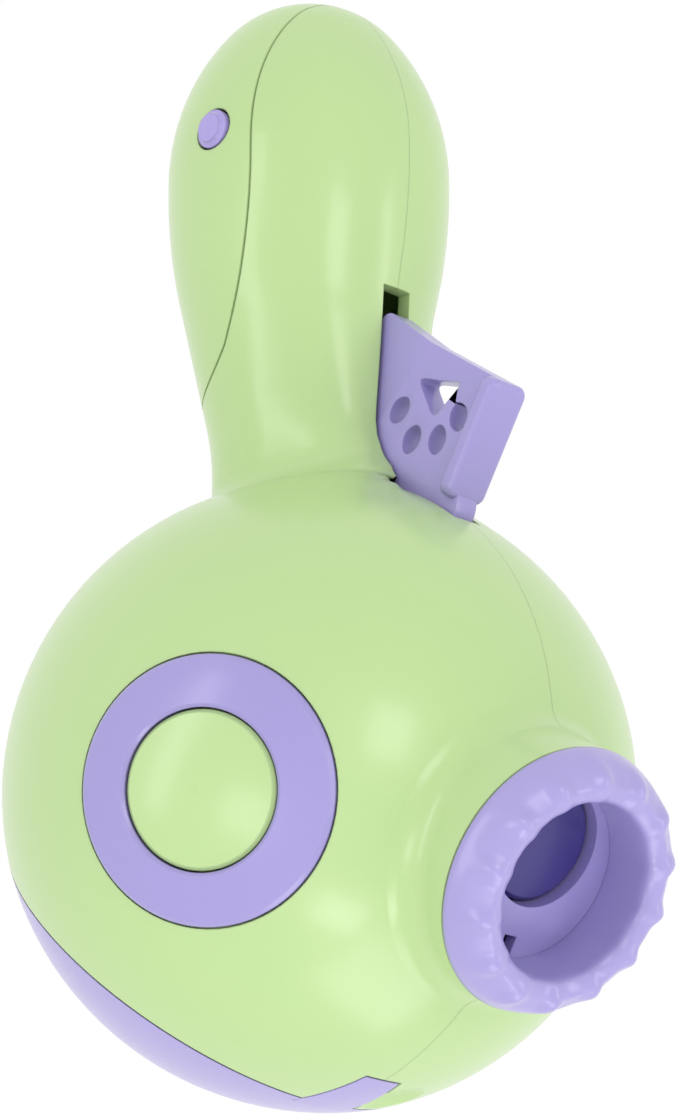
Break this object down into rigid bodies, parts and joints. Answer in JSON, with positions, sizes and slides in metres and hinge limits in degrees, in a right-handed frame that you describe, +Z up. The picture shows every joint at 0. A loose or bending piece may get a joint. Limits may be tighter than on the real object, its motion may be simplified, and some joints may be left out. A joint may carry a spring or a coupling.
{
  "type": "push button treat dispenser",
  "caption": "Pistol-shaped pet treat dispenser: ball hopper with a filler lid, scalloped nozzle, sliding trigger with a paw print and a grip with a hinged cover.",
  "frame": {"origin": "on the grip's axis, where the hand closes round it", "axes": "+X forward along the barrel, out of the muzzle; +Z up, on the lid's side; +Y to the user's left"},
  "size_m": [0.1389, 0.097, 0.16],
  "materials": {
    "green_shell": "satin gloss moulded plastic",
    "lilac_trim": "satin gloss moulded plastic",
    "dark_insert": "satin moulded plastic",
    "soft_seal": "soft seal",
    "spring_steel": "drawn wire",
    "pin_steel": "bright"
  },
  "bodies": {
    "housing": {"shell_left": "green_shell", "shell_right": "green_shell", "hopper": "dark_insert", "launch_tube": "lilac_trim", "launch_spring": "spring_steel", "trigger_spring": "spring_steel", "eye_ring_left": "lilac_trim", "eye_ring_right": "lilac_trim", "eye_cap_left": "green_shell", "eye_cap_right": "green_shell", "lid_pin": "pin_steel", "grip_cover_pin": "pin_steel", "shell_screws": "pin_steel"},
    "trigger": {"trigger": "lilac_trim", "sear_pin": "pin_steel", "sear_spring": "spring_steel"},
    "sear": {"sear": "dark_insert"},
    "piston": {"piston": "dark_insert"},
    "nozzle": {"nozzle_knob": "lilac_trim"},
    "lid": {"lid": "lilac_trim", "lid_seal": "soft_seal"},
    "grip_cover": {"grip_cover": "green_shell", "latch_spring_left": "spring_steel", "latch_spring_right": "spring_steel"},
    "latch_left": {"latch_button_left": "lilac_trim"},
    "latch_right": {"latch_button_right": "lilac_trim"}
  },
  "joints": [
    {"name": "trigger_pull", "type": "slide", "parent": "housing", "child": "trigger", "axis": [-1, 0, 0], "range_m": [0, 0.012], "stiffness_N_per_m": 250, "springref_m": -0.004, "deforming": ["trigger_spring"]},
    {"name": "piston_draw", "type": "slide", "parent": "housing", "child": "piston", "axis": [-1, 0, 0], "range_m": [0, 0.012], "deforming": ["launch_spring"]},
    {"name": "sear_trip", "type": "hinge", "parent": "trigger", "child": "sear", "pos_m": [0.04464, 0, 0.06], "axis": [0, 1, 0], "range_deg": [0, 12], "stiffness_Nm_per_rad": 0.02, "springref_deg": -11.46, "deforming": ["sear_spring"]},
    {"name": "nozzle_twist", "type": "hinge", "parent": "housing", "child": "nozzle", "pos_m": [0.10564, 0, 0.0746], "axis": [1, 0, 0], "range_deg": [0, 45]},
    {"name": "lid_open", "type": "hinge", "parent": "housing", "child": "lid", "pos_m": [0.00955, 0, 0.10234], "axis": [0, -1, 0], "range_deg": [0, 110]},
    {"name": "grip_cover_open", "type": "hinge", "parent": "housing", "child": "grip_cover", "pos_m": [0.00285, 0, 0.03719], "axis": [0, 1, 0], "range_deg": [0, 65]},
    {"name": "latch_left_press", "type": "slide", "parent": "grip_cover", "child": "latch_left", "axis": [0, -1, 0], "range_m": [0, 0.0022], "stiffness_N_per_m": 300, "springref_m": -0.001, "deforming": ["latch_spring_left"]},
    {"name": "latch_right_press", "type": "slide", "parent": "grip_cover", "child": "latch_right", "axis": [0, 1, 0], "range_m": [0, 0.0022], "stiffness_N_per_m": 300, "springref_m": -0.001, "deforming": ["latch_spring_right"]}
  ],
  "couplings": [
    {"joint": "piston_draw", "follows": "trigger_pull", "ratio": 1}
  ]
}
